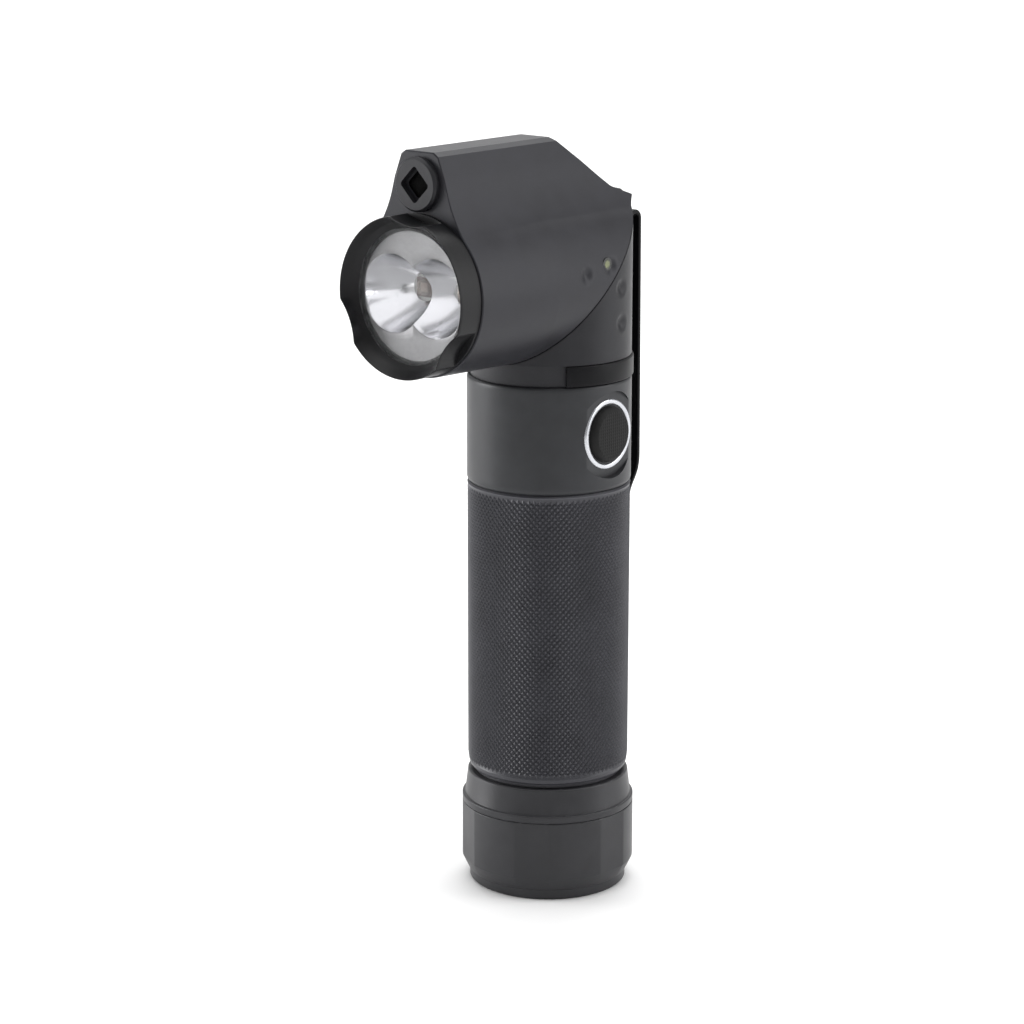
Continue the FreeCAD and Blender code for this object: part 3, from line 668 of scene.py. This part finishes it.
def swivel_neck():
    """Neck: clip groove, plain cylinder with two dimples and the lower swivel face."""
    steps = 360
    drop = SEAM_GAP * math.sqrt(2)
    dimples = ((2.1, 98.4), (2.2, 92.9))

    def top(angle, radius=NECK_R):
        return min(ELBOW_Z + radius * math.sin(angle) - drop, NECK_TIP_Z)

    outline = [(THREAD_R, NECK_LOW), (THREAD_R, COLLAR_TOP), (GROOVE_R, COLLAR_TOP)]
    outline += [(GROOVE_R, GROOVE_TOP), (NECK_R, GROOVE_TOP)]
    rows = [circle(r, z, steps) for r, z in rounded(outline, 0.12)]
    levels = 70
    low = GROOVE_TOP + 0.15
    for k in range(1, levels + 1):
        points = []
        for i in range(steps):
            angle = 2 * math.pi * i / steps
            z = low + (top(angle) - 0.12 - low) * k / levels
            y = NECK_R * math.sin(angle)
            dent = 0.0
            if math.cos(angle) > 0:
                dent = sum(dimple_depth(math.hypot(y - dy, z - dz)) for dy, dz in dimples)
            radius = NECK_R - dent
            points.append((radius * math.cos(angle), radius * math.sin(angle), z))
        rows.append(points)
    radius = NECK_R - 0.1
    inner = []
    for i in range(steps):
        angle = 2 * math.pi * i / steps
        inner.append((radius * math.cos(angle), radius * math.sin(angle), top(angle, radius)))
    lip = []
    for x, y, z in inner:
        y = min(y, NECK_TIP_Z - ELBOW_Z + drop)
        lip.append((x * 0.995, y * 0.995, ELBOW_Z + y * 0.995 - drop))
    profile = [(9.0, 0), (7.95, 0), (7.9, -0.05), (7.9, -1.3), (6.5, -1.3), (6.5, -0.05), (6.45, 0), (5.4, 0)]
    profile.append((5.4, -NECK_WALL))
    rows += [inner, lip] + face_rings(lip, profile, -SEAM_GAP)
    ceiling = []
    floor_row = []
    for x, y, z in rows[0]:
        angle = math.atan2(y, x)
        x, y = CAVITY_R * math.cos(angle), CAVITY_R * math.sin(angle)
        ceiling.append((x, y, ELBOW_Z + y - NECK_WALL * math.sqrt(2)))
        floor_row.append((x, y, NECK_LOW))
    skin = Skin()
    skin.rows(rows + [ceiling, floor_row], closed=True)
    skin.piece("neck", ANODISED_PAINTED_SHADE, "handle", "anodised_body", ("swivel_neck",), smooth_angle=32.0)


def circle_through(a, b, c):
    """Centre and radius of the circle through three flat points."""
    d = 2 * (a[0] * (b[1] - c[1]) + b[0] * (c[1] - a[1]) + c[0] * (a[1] - b[1]))
    squares = [p[0] ** 2 + p[1] ** 2 for p in (a, b, c)]
    x = (squares[0] * (b[1] - c[1]) + squares[1] * (c[1] - a[1]) + squares[2] * (a[1] - b[1])) / d
    z = (squares[0] * (c[0] - b[0]) + squares[1] * (a[0] - c[0]) + squares[2] * (b[0] - a[0])) / d
    return x, z, math.hypot(a[0] - x, a[1] - z)


FLANK_TOP, FLANK_FOOT = 5.7, 10.0
FLANK = circle_through((FLANK_TOP, 115.1), (7.25, 111.65), (FLANK_FOOT, 108.1))


def crest_height(x):
    """Height of the crest's outline at a distance from the middle plane."""
    x = abs(x)
    corners = [(0.0, CREST_TOP), (2.8, CREST_TOP), (3.7, CREST_TOP - 0.6), (5.0, 117.6), (FLANK_TOP, 115.1)]
    for (x0, z0), (x1, z1) in zip(corners, corners[1:]):
        if x <= x1:
            return z0 + (z1 - z0) * (x - x0) / (x1 - x0)
    # beyond the corners lies the concave flank
    centre_x, centre_z, radius = FLANK
    return centre_z - math.sqrt(max(radius ** 2 - (x - centre_x) ** 2, 0.0))


def barrel_radius(y):
    """Barrel of the head: plain behind, very slightly tapered towards the front."""
    return BARREL_R - BARREL_TAPER * max(0.0, (-y - BARREL_R) / (HEAD_FRONT - BARREL_R))


def head_height(x, y):
    """Top of the head over a point: barrel and crest blended, cut by the two rear slopes."""
    radius = barrel_radius(y)
    barrel = ELBOW_Z + math.sqrt(radius ** 2 - x * x)
    # the flank's foot follows the barrel as it narrows
    foot = min(1.0, max(0.0, (abs(x) - FLANK_TOP) / (FLANK_FOOT - FLANK_TOP)))
    ridge = crest_height(x) - foot * (math.sqrt(BARREL_R ** 2 - x * x) - math.sqrt(radius ** 2 - x * x))
    soft = 0.4
    near = max(soft - abs(barrel - ridge), 0.0) / soft * min(1.0, (FLANK_FOOT - abs(x)) / 2.0)
    top = max(barrel, ridge) + near ** 2 * soft / 4
    slope = CREST_TOP - CREST_SLOPE * (y + CREST_BREAK)
    flat = REAR_FLAT_Z - REAR_FLAT_SLOPE * (y - REAR_FLAT)
    return min(top, CREST_TOP, max(slope, flat))


def head_shell():
    """Head: barrel with the crest, dimples, front face with its bore and the upper swivel face."""
    lift = SEAM_GAP * math.sqrt(2)
    spans = [(0.0, 2.8, 4), (2.8, 3.7, 5), (3.7, 5.0, 5), (5.0, FLANK_TOP, 4), (FLANK_TOP, FLANK_FOOT, 30)]
    side_x = [a + (b - a) * k / n for a, b, n in spans for k in range(n)] + [FLANK_FOOT]
    top_x = side_x[::-1] + [-x for x in side_x[1:]]
    below = 180
    dimples = ((-6.5, 101.4), (-0.55, 102.1))
    front = -HEAD_FRONT
    bevel = 0.14

    def column_point(key, y):
        """Point of a lengthwise column at y: over the top by x, round the rest by its share of the arc."""
        kind, value = key
        radius = barrel_radius(y)
        if kind == "top":
            return value, head_height(value, y)
        start = math.acos(FLANK_FOOT / radius)
        angle = math.pi - start + (math.pi + 2 * start) * value
        x, z = radius * math.cos(angle), radius * math.sin(angle)
        if x > 0:
            dent = sum(dimple_depth(math.hypot(y - dy, ELBOW_Z + z - dz)) for dy, dz in dimples)
            x, z = x * (1 - dent / radius), z * (1 - dent / radius)
        return x, ELBOW_Z + z

    keys = [("top", x) for x in top_x]
    keys += [("side", k / below) for k in range(1, below)]
    rear = []
    for key in keys:
        # halve the span until the column's point lies on the swivel plane
        ahead, behind = -14.0, 14.0
        for _ in range(40):
            middle = (ahead + behind) / 2
            if column_point(key, middle)[1] - ELBOW_Z - lift > middle:
                ahead = middle
            else:
                behind = middle
        rear.append(ahead)
    slope_z = CREST_TOP - CREST_SLOPE * CREST_BREAK
    meet = (slope_z - REAR_FLAT_Z - REAR_FLAT_SLOPE * REAR_FLAT) / (CREST_SLOPE - REAR_FLAT_SLOPE)
    meet_z = CREST_TOP - CREST_SLOPE * (meet + CREST_BREAK)

    def breaks_of(key, end):
        """Where a column meets the two rear slopes, so that their edges follow rows of points."""
        if key[0] == "side":
            return [front + bevel, end - 0.4, end - 0.25, end - 0.1]
        uncut = column_point(key, -CREST_BREAK)[1]
        if uncut > meet_z:
            return [front + bevel, (CREST_TOP - uncut) / CREST_SLOPE - CREST_BREAK, meet, end - 0.1]
        first = min(REAR_FLAT + (REAR_FLAT_Z - uncut) / REAR_FLAT_SLOPE, end - 0.4)
        return [front + bevel, first, first + (end - 0.1 - first) * 0.5, end - 0.1]

    counts = (150, 28, 8)
    columns = []
    for key, end in zip(keys, rear):
        breaks = breaks_of(key, end)
        places = []
        for a, b, n in zip(breaks, breaks[1:], counts):
            places += [a + (b - a) * k / n for k in range(n)]
        places.append(breaks[-1])
        column = [(y, *column_point(key, y)) for y in places]
        columns.append([(x, y, z) for y, x, z in column])
    rows = [[column[r] for column in columns] for r in range(len(columns[0]))]
    inset = 1 - bevel / BARREL_R
    front_edge = [column_point(key, front) for key in keys]
    rim = [(x * inset, front, ELBOW_Z + (z - ELBOW_Z) * inset) for x, z in front_edge]
    bore = []
    scale = OPTIC_BORE_R / barrel_radius(front)
    for key, (x, y, z) in zip(keys, rim):
        flat = (x, z - ELBOW_Z)
        if key[0] == "top":
            flat = (key[1] * scale, math.sqrt(OPTIC_BORE_R ** 2 - (key[1] * scale) ** 2))
        size = math.hypot(*flat)
        bore.append((flat[0] * OPTIC_BORE_R / size, y, ELBOW_Z + flat[1] * OPTIC_BORE_R / size))
    deep = [(x, -OPTIC_BORE_BACK, z) for x, y, z in bore]
    inner = []
    for key, end in zip(keys, rear):
        x, z = column_point(key, end)
        shrink = 1 - 0.1 / BARREL_R
        x, z = x * shrink, ELBOW_Z + (z - ELBOW_Z) * shrink
        inner.append((x, z - ELBOW_Z - lift, z))
    profile = [(11.2, 0), (10.8, 0), (10.8, 0.4), (10.4, 0.4), (10.0, 0.4), (DETENT_R, 0.4)]
    profile += [(9.6, 0.4), (9.2, 0.4), (8.8, 0.4), (8.8, 0), (5.5, 0), (4.22, 0), (4.22, 3.5)]
    swivel_face = face_rings(inner, profile, SEAM_GAP, pockets=True)
    skin = Skin()
    starts = skin.rows([deep, bore, rim] + rows + [inner] + swivel_face)
    skin.lid(starts[0], len(keys))
    skin.lid(starts[-1], len(keys))
    skin.piece("head_shell", ANODISED_HEAD_PAINTED_SHADE, "head", "anodised_head", ("head_housing",), smooth_angle=30.0)


# ---- bezel and optics ----


def bezel():
    """Bezel: a sharp-edged funnel whose wall is scooped three times along its length."""
    steps = 360
    reach, scoop_r = 21.8, 10.6
    flange_r, funnel_r, funnel_low = 12.3, 11.1, 33.1

    def wall(angle, radius):
        """Radius of the wall where the scallops cut into it."""
        for scallop in SCALLOPS:
            away = (angle - math.radians(scallop) + math.pi) % (2 * math.pi) - math.pi
            across = reach * math.sin(away)
            if abs(away) < 1 and abs(across) < scoop_r:
                radius = min(radius, reach * math.cos(away) - math.sqrt(scoop_r ** 2 - across ** 2))
        return radius

    def row(radius, height, sunk=0.0, scooped=True):
        """Ring of the wall, scooped or plain, a little inside its surface where sunk."""
        points = []
        for i in range(steps):
            angle = 2 * math.pi * i / steps
            r = (wall(angle, radius) if scooped else radius) - sunk
            points.append((r * math.cos(angle), r * math.sin(angle), height))
        return points

    skirt = [(10.7, SKIRT_BACK), (11.3, SKIRT_BACK), (11.3, HEAD_FRONT), (flange_r, HEAD_FRONT)]
    rows = [row(r, z, scooped=False) for r, z in rounded(skirt, 0.1)]
    rows += [row(flange_r, HEAD_FRONT + 0.1, scooped=False), row(flange_r, HEAD_FRONT + 0.5, scooped=False)]
    low, high = HEAD_FRONT + 0.55, BEZEL_FRONT - 0.12
    rows += [row(flange_r, low + (high - low) * k / 8) for k in range(9)]
    rows.append(row(flange_r, BEZEL_FRONT - 0.03, sunk=0.04))
    rows.append(row(flange_r, BEZEL_FRONT, sunk=0.12))
    for k in range(1, 5):
        points = []
        for i in range(steps):
            angle = 2 * math.pi * i / steps
            outer = wall(angle, flange_r) - 0.15
            r = outer + (min(funnel_r, outer) - 0.05 - outer) * k / 5
            height = BEZEL_FRONT + (funnel_low - BEZEL_FRONT) * k / 5
            points.append((r * math.cos(angle), r * math.sin(angle), height))
        rows.append(points)
    throat = [(funnel_r - 0.14, funnel_low - 0.08), (10.3, 32.5), (10.3, 32.42)]
    throat += [(10.7, 32.42), (10.7, SKIRT_BACK)]
    rows += [row(r, z, scooped=False) for r, z in rounded(throat, 0.05)]
    skin = Skin()
    skin.rows(rows)
    skin.piece("bezel", ANODISED_DARK, "head", "anodised_black", ("bezel_ring",), FORWARD, 26.0)


def cup_height(rho):
    """Height of the cup wall over the board at a distance from its middle."""
    points = ((2.2, 24.4), (4.45, 27.9), (6.0, 31.7))
    total = 0.0
    for i, (r0, h0) in enumerate(points):
        share = 1.0
        for j, (r1, _) in enumerate(points):
            if i != j:
                share *= (rho - r1) / (r0 - r1)
        total += h0 * share
    return total


def twin_reflector():
    """Reflector plate with two deep cups that meet at a ridge."""
    apart, rim_r, bore_r = CUP_APART, 6.0, 2.2
    plate, back, outer = 31.7, 23.9, 10.6
    half = 120

    def outline(angle):
        """Distance from the middle to the joined rims of the two cups."""
        return apart * abs(math.cos(angle)) + math.sqrt(rim_r ** 2 - (apart * math.sin(angle)) ** 2)

    skin = Skin()
    edge = []
    for i in range(2 * half):
        angle = 2 * math.pi * i / (2 * half)
        edge.append((math.cos(angle), math.sin(angle), outline(angle)))
    rows = []
    for lift, sunk in ((back, 0.0), (plate - 0.12, 0.0), (plate - 0.03, 0.04), (plate, 0.12)):
        rows.append([(c * (r + sunk), s * (r + sunk), lift) for c, s, r in edge])
    for share in (0.33, 0.66):
        widened = [(c, s, r + (outer - r) * share) for c, s, r in edge]
        rows.append([(c * r, s * r, plate) for c, s, r in widened])
    rows.append([(c * outer, s * outer, plate) for c, s, r in edge])
    rows.append([(c * outer, s * outer, back) for c, s, r in edge])
    skin.rows([rows[0], rows[-1]])
    skin.rows(rows[1:])
    tip = math.sqrt(rim_r ** 2 - apart ** 2)
    for side in (1, -1):
        rim = []
        for i in range(half + 1):
            angle = -math.pi / 2 + math.pi * i / half
            r = outline(angle)
            rim.append((side * r * math.cos(angle), r * math.sin(angle)))
        ridge = [(0.0, tip * (1 - k / 20)) for k in range(1, 40)]
        loop = rim + ridge
        levels = 26
        cup = [[(x, y, back) for x, y in loop]]
        for level in (back, 24.4):
            ring_row = []
            for x, y in loop:
                angle = math.atan2(y, x - side * apart)
                ring_row.append((side * apart + bore_r * math.cos(angle), bore_r * math.sin(angle), level))
            cup.append(ring_row)
        for k in range(1, levels + 1):
            points = []
            for x, y in loop:
                dx, dy = x - side * apart, y
                size = math.hypot(dx, dy)
                rho = bore_r + (size - bore_r) * k / levels
                height = min(cup_height(rho), plate - 0.12)
                points.append((side * apart + dx * rho / size, dy * rho / size, height))
            cup.append(points)
        skin.rows(cup)
    skin.piece("twin_reflector", SILVER, "head", "reflector_silver", ("reflector",), FORWARD, 35.0)


def laser_lens():
    """Dark diamond window at the bottom of the laser's stepped opening."""
    half_diagonal, corner_r, steps = 2.27, 2.03, 96

    def outline(scale, z):
        """Diamond with blunted corners."""
        points = []
        for i in range(steps):
            angle = 2 * math.pi * i / steps
            r = scale * min(half_diagonal / (abs(math.cos(angle)) + abs(math.sin(angle))), corner_r)
            points.append((r * math.cos(angle), r * math.sin(angle), z))
        return points

    skin = Skin()
    shape = ((1.0, -0.35), (1.0, 0.04), (0.92, 0.09), (0.75, 0.12), (0.5, 0.15), (0.2, 0.17))
    starts = skin.rows([outline(scale, HEAD_FRONT + lift) for scale, lift in shape])
    skin.lid(starts[0], steps)
    skin.lid(starts[-1], steps)
    placement = FORWARD @ Matrix.Translation((0, LASER_Z - ELBOW_Z, 0))
    skin.piece("laser_lens", DARK_GLASS, "head", "dark_glass", ("laser_window",), placement, 35.0)


# ---- clip ----


def strip_rows(path, half_width, thick):
    """Rows of a strip along (y, z) points; half_width takes the length so far and the whole length."""
    rows = []
    lengths = [0.0]
    for a, b in zip(path, path[1:]):
        lengths.append(lengths[-1] + math.dist(a, b))
    for i, (y, z) in enumerate(path):
        ahead = path[min(i + 1, len(path) - 1)]
        behind = path[max(i - 1, 0)]
        run = math.dist(ahead, behind)
        normal = ((ahead[1] - behind[1]) / run, -(ahead[0] - behind[0]) / run)
        half = half_width(lengths[i], lengths[-1])
        rows.append([(x, y + normal[0] * o, z + normal[1] * o) for x, o in slab(half, thick / 2)])
    return rows


def slab(half, thick):
    """Outline of a slab with rounded edges, from its half width and half thickness."""
    corner = 0.22
    points = []
    for quarter, (sx, sy) in enumerate(((1, 1), (-1, 1), (-1, -1), (1, -1))):
        for k in range(5):
            angle = math.pi / 2 * (quarter + k / 4)
            x = sx * (half - corner) + corner * math.cos(angle)
            points.append((x, sy * (thick - corner) + corner * math.sin(angle)))
    return points


def pocket_clip():
    """Deep-carry clip: an open ring round the neck, a leaf up to a tight bend and a springy outer leaf."""
    thick = 0.7
    bend_y, bend_z, bend_r = 14.55, 107.1, 1.15
    leaf_low = CLASP_LOW_Z + 0.2
    path = [(bend_y - bend_r, leaf_low + (bend_z - leaf_low) * k / 12) for k in range(13)]
    for k in range(1, 16):
        angle = math.pi - math.pi * k / 16
        path.append((bend_y + bend_r * math.cos(angle), bend_z + bend_r * math.sin(angle)))
    lower = [(bend_y + bend_r, bend_z), (16.0, 66.7), (13.68, 62.6), (14.8, 54.62)]
    outer = rounded(lower, 2.6, 12)
    long_run = [outer[0]]
    for share in range(1, 16):
        y = outer[0][0] + (outer[1][0] - outer[0][0]) * share / 16
        long_run.append((y, outer[0][1] + (outer[1][1] - outer[0][1]) * share / 16))
    path += long_run + outer[1:-1]
    last_a, last_b = outer[-2], outer[-1]
    for k in range(1, 15):
        share = 1 - (1 - k / 14) ** 1.5
        y = last_a[0] + (last_b[0] - last_a[0]) * share
        path.append((y, last_a[1] + (last_b[1] - last_a[1]) * share))

    def width(at, total):
        """Half width of the strip, tapered at the tip and rounded at both ends."""
        left = total - at
        half = CLIP_HALF_WIDTH - max(0.0, 1 - left / 12.0)
        for distance, corner in ((left, 2.6), (at, 1.2)):
            if distance < corner:
                half -= corner - math.sqrt(max(corner ** 2 - (corner - distance) ** 2, 0.0))
        return max(half, 1.0)

    skin = Skin()
    rows = strip_rows(path, width, thick)
    starts = skin.rows(rows)
    skin.lid(starts[0], len(rows[0]))
    skin.lid(starts[-1], len(rows[0]))
    low, high = CLASP_LOW_Z, GROOVE_TOP - 0.1
    inner_r, outer_r = 12.5, 13.3
    ring_start, ring_sweep = -38, 256
    ring_rows = []
    for k in range(121):
        angle = math.radians(ring_start + ring_sweep * k / 120)
        points = []
        for along, across in slab((high - low) / 2, (outer_r - inner_r) / 2):
            r = (inner_r + outer_r) / 2 + across
            points.append((r * math.cos(angle), r * math.sin(angle), (low + high) / 2 + along))
        ring_rows.append(points)
    starts = skin.rows(ring_rows)
    skin.lid(starts[0], len(ring_rows[0]))
    skin.lid(starts[-1], len(ring_rows[0]))
    clip = skin.piece("pocket_clip", STEEL_BLACK, None, "steel_black", ("clip_clasp", "clip_arm"), None, 40.0)
    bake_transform(clip)


knurled_grip()
tail_cap()
switch_collar()
switch_trim()
rubber_boot()
swivel_neck()
head_shell()
bezel()
twin_reflector()
laser_lens()
pocket_clip()


# ---- camera, floor and light ----


def aim(location, azimuth, pitch, yaw, roll):
    """Rotation of a camera looking at the grip axis from an azimuth, turned by small angles."""
    ahead = Vector((-math.sin(azimuth), math.cos(azimuth), 0))
    right = Vector((math.cos(azimuth), math.sin(azimuth), 0))
    ahead, right = ahead * math.cos(yaw) + right * math.sin(yaw), right * math.cos(yaw) - ahead * math.sin(yaw)
    ahead = ahead * math.cos(pitch) - Vector((0, 0, 1)) * math.sin(pitch)
    up = right.cross(ahead)
    rolled_right = right * math.cos(roll) + up * math.sin(roll)
    rolled_up = up * math.cos(roll) - right * math.sin(roll)
    turn = Matrix((rolled_right, rolled_up, -ahead)).transposed().to_4x4()
    return Matrix.Translation(location) @ turn


AZIMUTH = math.radians(40.05)
DISTANCE = 0.47297
CAMERA_HEIGHT = 0.17675
camera_data = bpy.data.cameras.new("camera")
camera_data.lens = 107.1
camera_data.sensor_width = 36.0
camera = bpy.data.objects.new("camera", camera_data)
bpy.context.scene.collection.objects.link(camera)
place = Vector((DISTANCE * math.sin(AZIMUTH), -DISTANCE * math.cos(AZIMUTH), CAMERA_HEIGHT))
camera.matrix_world = aim(place, AZIMUTH, math.radians(13.75), math.radians(-0.71), math.radians(0.06))
bpy.context.scene.camera = camera


def make_floor():
    """A large pale floor."""
    half = 6.0
    mesh = bpy.data.meshes.new("floor")
    mesh.from_pydata([(-half, -half, 0), (half, -half, 0), (half, half, 0), (-half, half, 0)], [], [(0, 1, 2, 3)])
    floor = bpy.data.objects.new("floor", mesh)
    bpy.context.scene.collection.objects.link(floor)
    material, tree, shader, vector = new_material("pale_floor", (0.90, 0.90, 0.90), 0.75)
    tone = noise(tree, vector, 0.002, 2.0)
    tree.links.new(blend_colours(tree, tone, (0.89, 0.89, 0.89), (0.91, 0.91, 0.91)), shader.inputs["Base Color"])
    shader.inputs["Specular IOR Level"].default_value = 0.1
    mesh.materials.append(material)


def softbox(name, location, target, width, height, power):
    """A rectangular area light aimed at a point."""
    light = bpy.data.lights.new(name, "AREA")
    light.shape = "RECTANGLE"
    light.size, light.size_y = width, height
    light.energy = power
    lamp = bpy.data.objects.new(name, light)
    bpy.context.scene.collection.objects.link(lamp)
    lamp.location = location
    lamp.rotation_euler = (Vector(target) - Vector(location)).to_track_quat("-Z", "Y").to_euler()


def make_world(strength):
    """An even white surround."""
    world = bpy.data.worlds.new("studio")
    world.use_nodes = True
    background = world.node_tree.nodes["Background"]
    background.inputs["Color"].default_value = (1, 1, 1, 1)
    background.inputs["Strength"].default_value = strength
    bpy.context.scene.world = world


make_floor()
make_world(0.5)
CENTRE = (0, -0.01, 0.07)
softbox("top_light", (-0.1, 0.1, 1.1), CENTRE, 1.2, 1.2, 11.0)
softbox("left_light", (-0.9, -0.5, 0.5), CENTRE, 0.5, 1.0, 1.0)
softbox("low_light", (-0.95, -0.55, 0.19), (0, -0.03, 0.1), 0.5, 0.45, 7.5)
softbox("right_light", (0.75, 0.55, 0.45), CENTRE, 0.5, 1.0, 5.0)
softbox("floor_wash", (-1.2, 1.5, 1.3), (-1.2, 1.5, 0), 2.0, 2.0, 26.0)
bpy.context.scene.view_settings.view_transform = "Standard"
